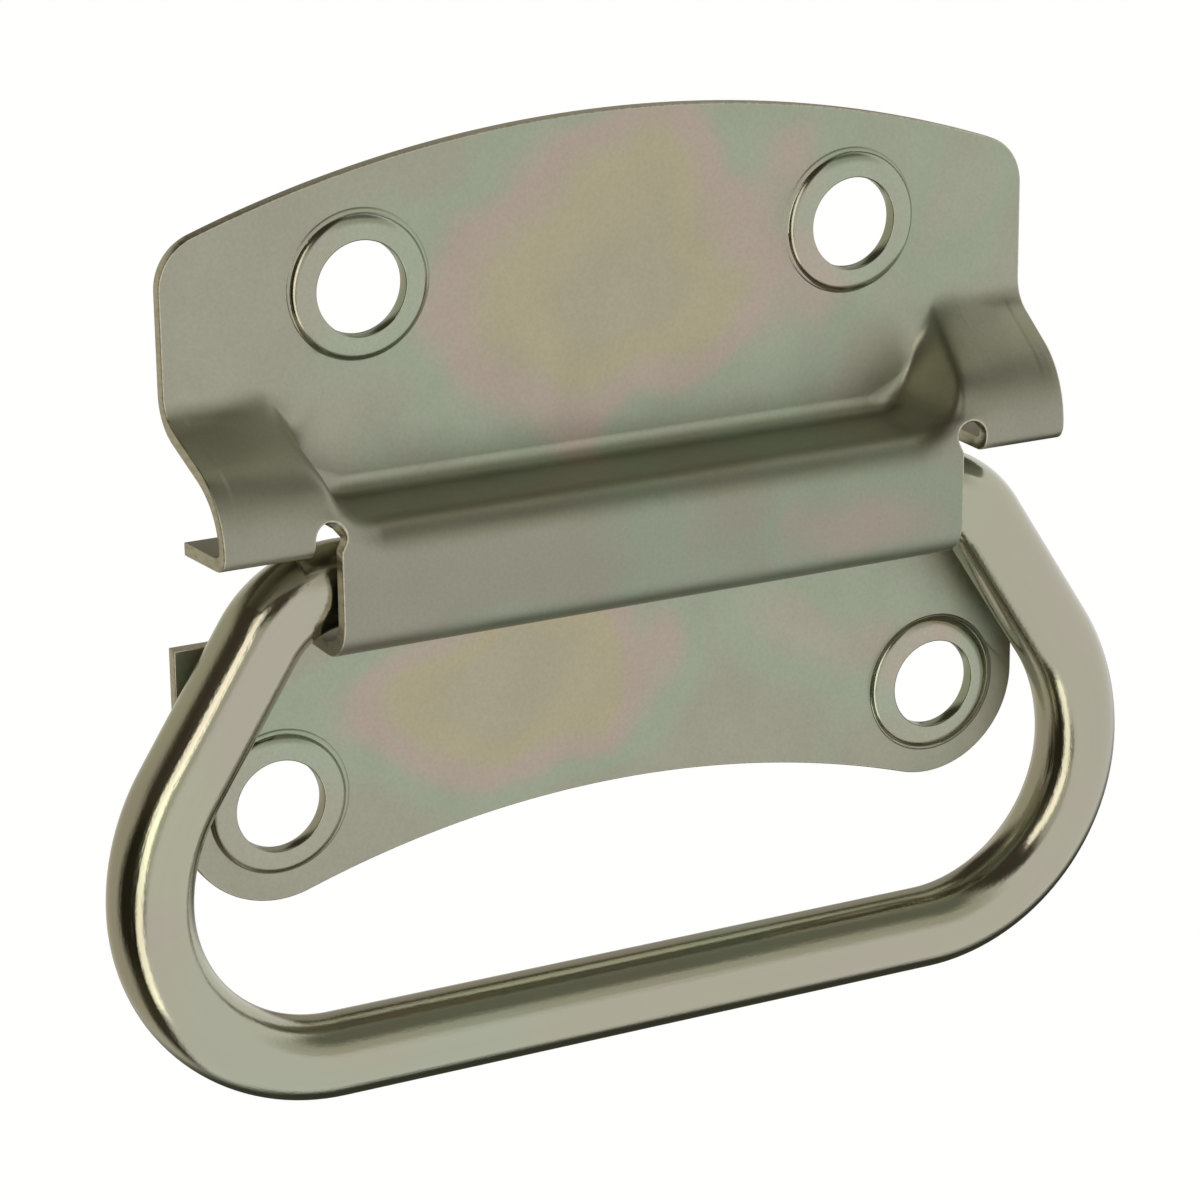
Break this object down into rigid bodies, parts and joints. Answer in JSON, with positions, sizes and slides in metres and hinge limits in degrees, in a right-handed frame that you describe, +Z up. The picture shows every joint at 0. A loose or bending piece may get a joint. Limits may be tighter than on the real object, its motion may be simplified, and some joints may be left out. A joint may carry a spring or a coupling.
{
  "type": "chest handle",
  "caption": "Chest handle: pressed steel plate with a hinge barrel, stop wings and raised screw holes, and a bent rod bail that swings up to a stop.",
  "frame": {"origin": "on the plate's back face, midway between the two upper screw holes", "axes": "+X along the hinge barrel, +Y into the wall, +Z up; the front faces -Y"},
  "size_m": [0.1068, 0.0116, 0.089],
  "materials": {
    "zinc_sheet": "zinc plate with a faint passivate tint, satin",
    "zinc_rod": "bright zinc plate, semi-gloss"
  },
  "bodies": {
    "plate": {"mounting_plate": "zinc_sheet"},
    "bail": {"bail_handle": "zinc_rod"}
  },
  "joints": [
    {"name": "bail_swing", "type": "hinge", "parent": "plate", "child": "bail", "pos_m": [0, -0.00557, -0.0258], "axis": [-1, 0, 0], "range_deg": [0, 90]}
  ]
}
